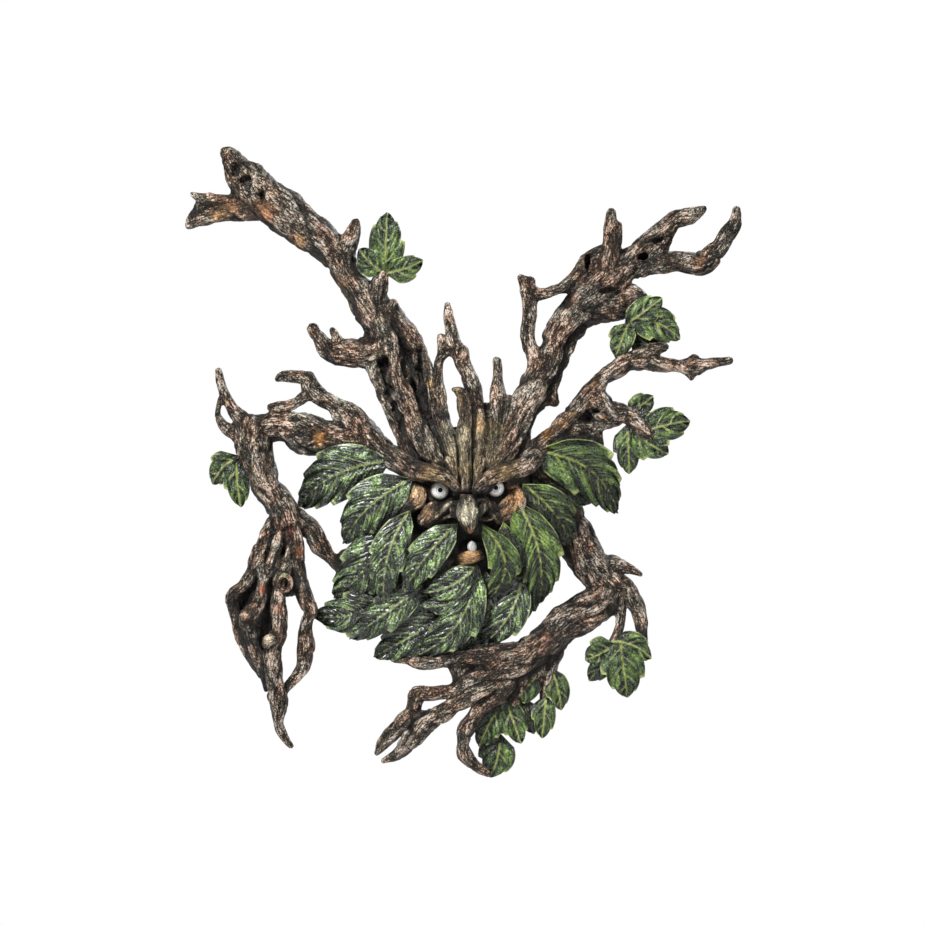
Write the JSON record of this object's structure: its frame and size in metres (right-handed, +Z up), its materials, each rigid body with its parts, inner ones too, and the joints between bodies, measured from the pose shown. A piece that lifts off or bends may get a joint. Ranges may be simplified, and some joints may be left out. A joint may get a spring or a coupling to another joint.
{
  "type": "tree face wall sculpture",
  "caption": "Wall sculpture of a tree spirit: a scowling bark face masked in leaves, with antler branches, twig arms with root-like hands, and ivy.",
  "frame": {"origin": "on the wall plane, in the flat back just above the level of the eyes, under the hanging slot", "axes": "+X to the viewer's right, +Y into the wall, +Z up"},
  "size_m": [0.5593, 0.1195, 0.6298],
  "materials": {
    "bark_paint": "satin"
  },
  "bodies": {
    "root": {"tree_face": "bark_paint"}
  },
  "joints": []
}
